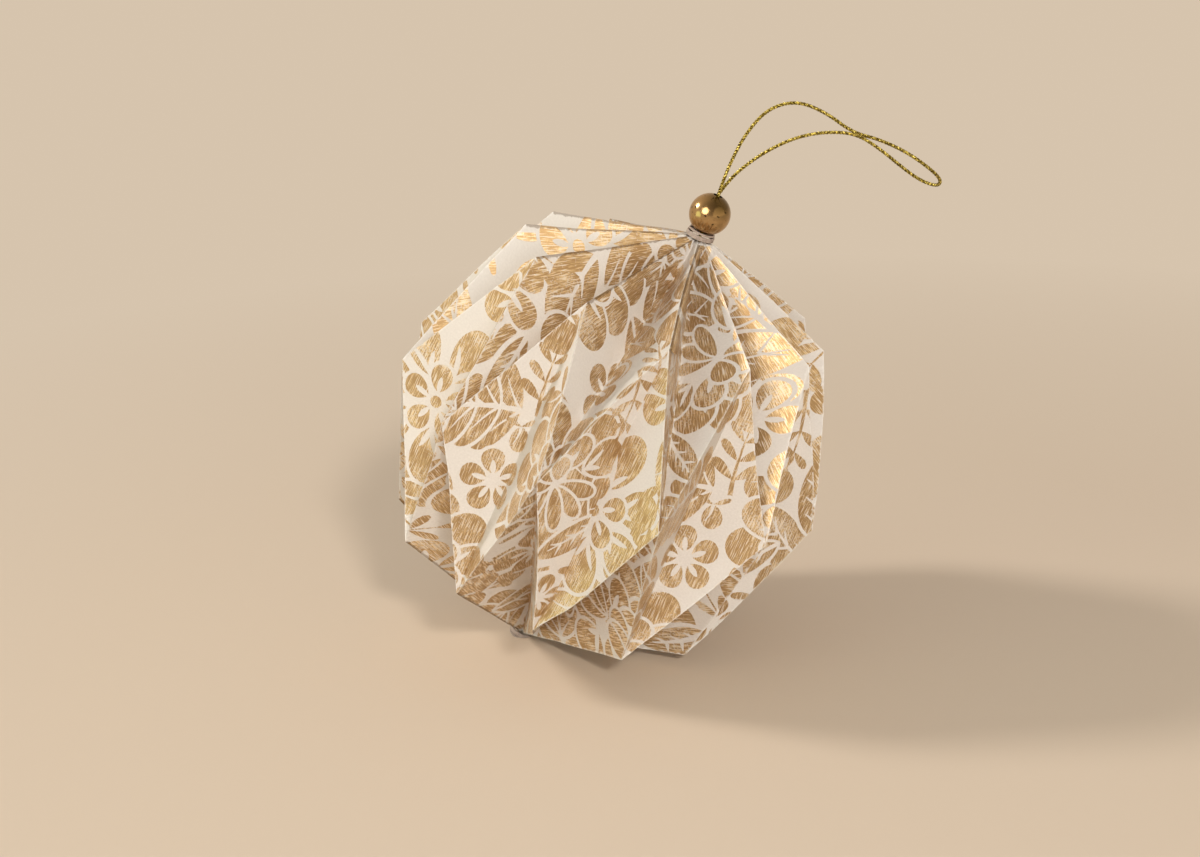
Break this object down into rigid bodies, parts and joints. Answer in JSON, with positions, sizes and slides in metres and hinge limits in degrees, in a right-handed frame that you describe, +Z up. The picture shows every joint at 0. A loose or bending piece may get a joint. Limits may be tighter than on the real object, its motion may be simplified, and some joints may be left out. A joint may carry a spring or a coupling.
{
  "type": "pleated paper ball ornament",
  "caption": "Faceted hanging ball folded from one pleated, zigzag-creased strip of printed paper, gathered at both ends, with a bored bead and a doubled cord loop on top.",
  "frame": {"origin": "the point at the upper mouth of the bead where the hanging cord leaves it, on the pleat axis", "axes": "+Z up along the pleat axis, away from the ball; -Y towards the front panel; the cord loop leans to +X"},
  "size_m": [0.087, 0.087, 0.1252],
  "materials": {
    "printed_paper": "cream card with a metallic gold floral print",
    "binding_thread": "fine grey-mauve thread",
    "gilt_bead": "polished gilt",
    "metallic_cord": "twisted metallic gold cord"
  },
  "bodies": {
    "root": {"folded_sheet": "printed_paper", "upper_binding": "binding_thread", "lower_binding": "binding_thread", "top_bead": "gilt_bead", "cord_knot": "metallic_cord", "hanging_cord": "metallic_cord"}
  },
  "joints": []
}
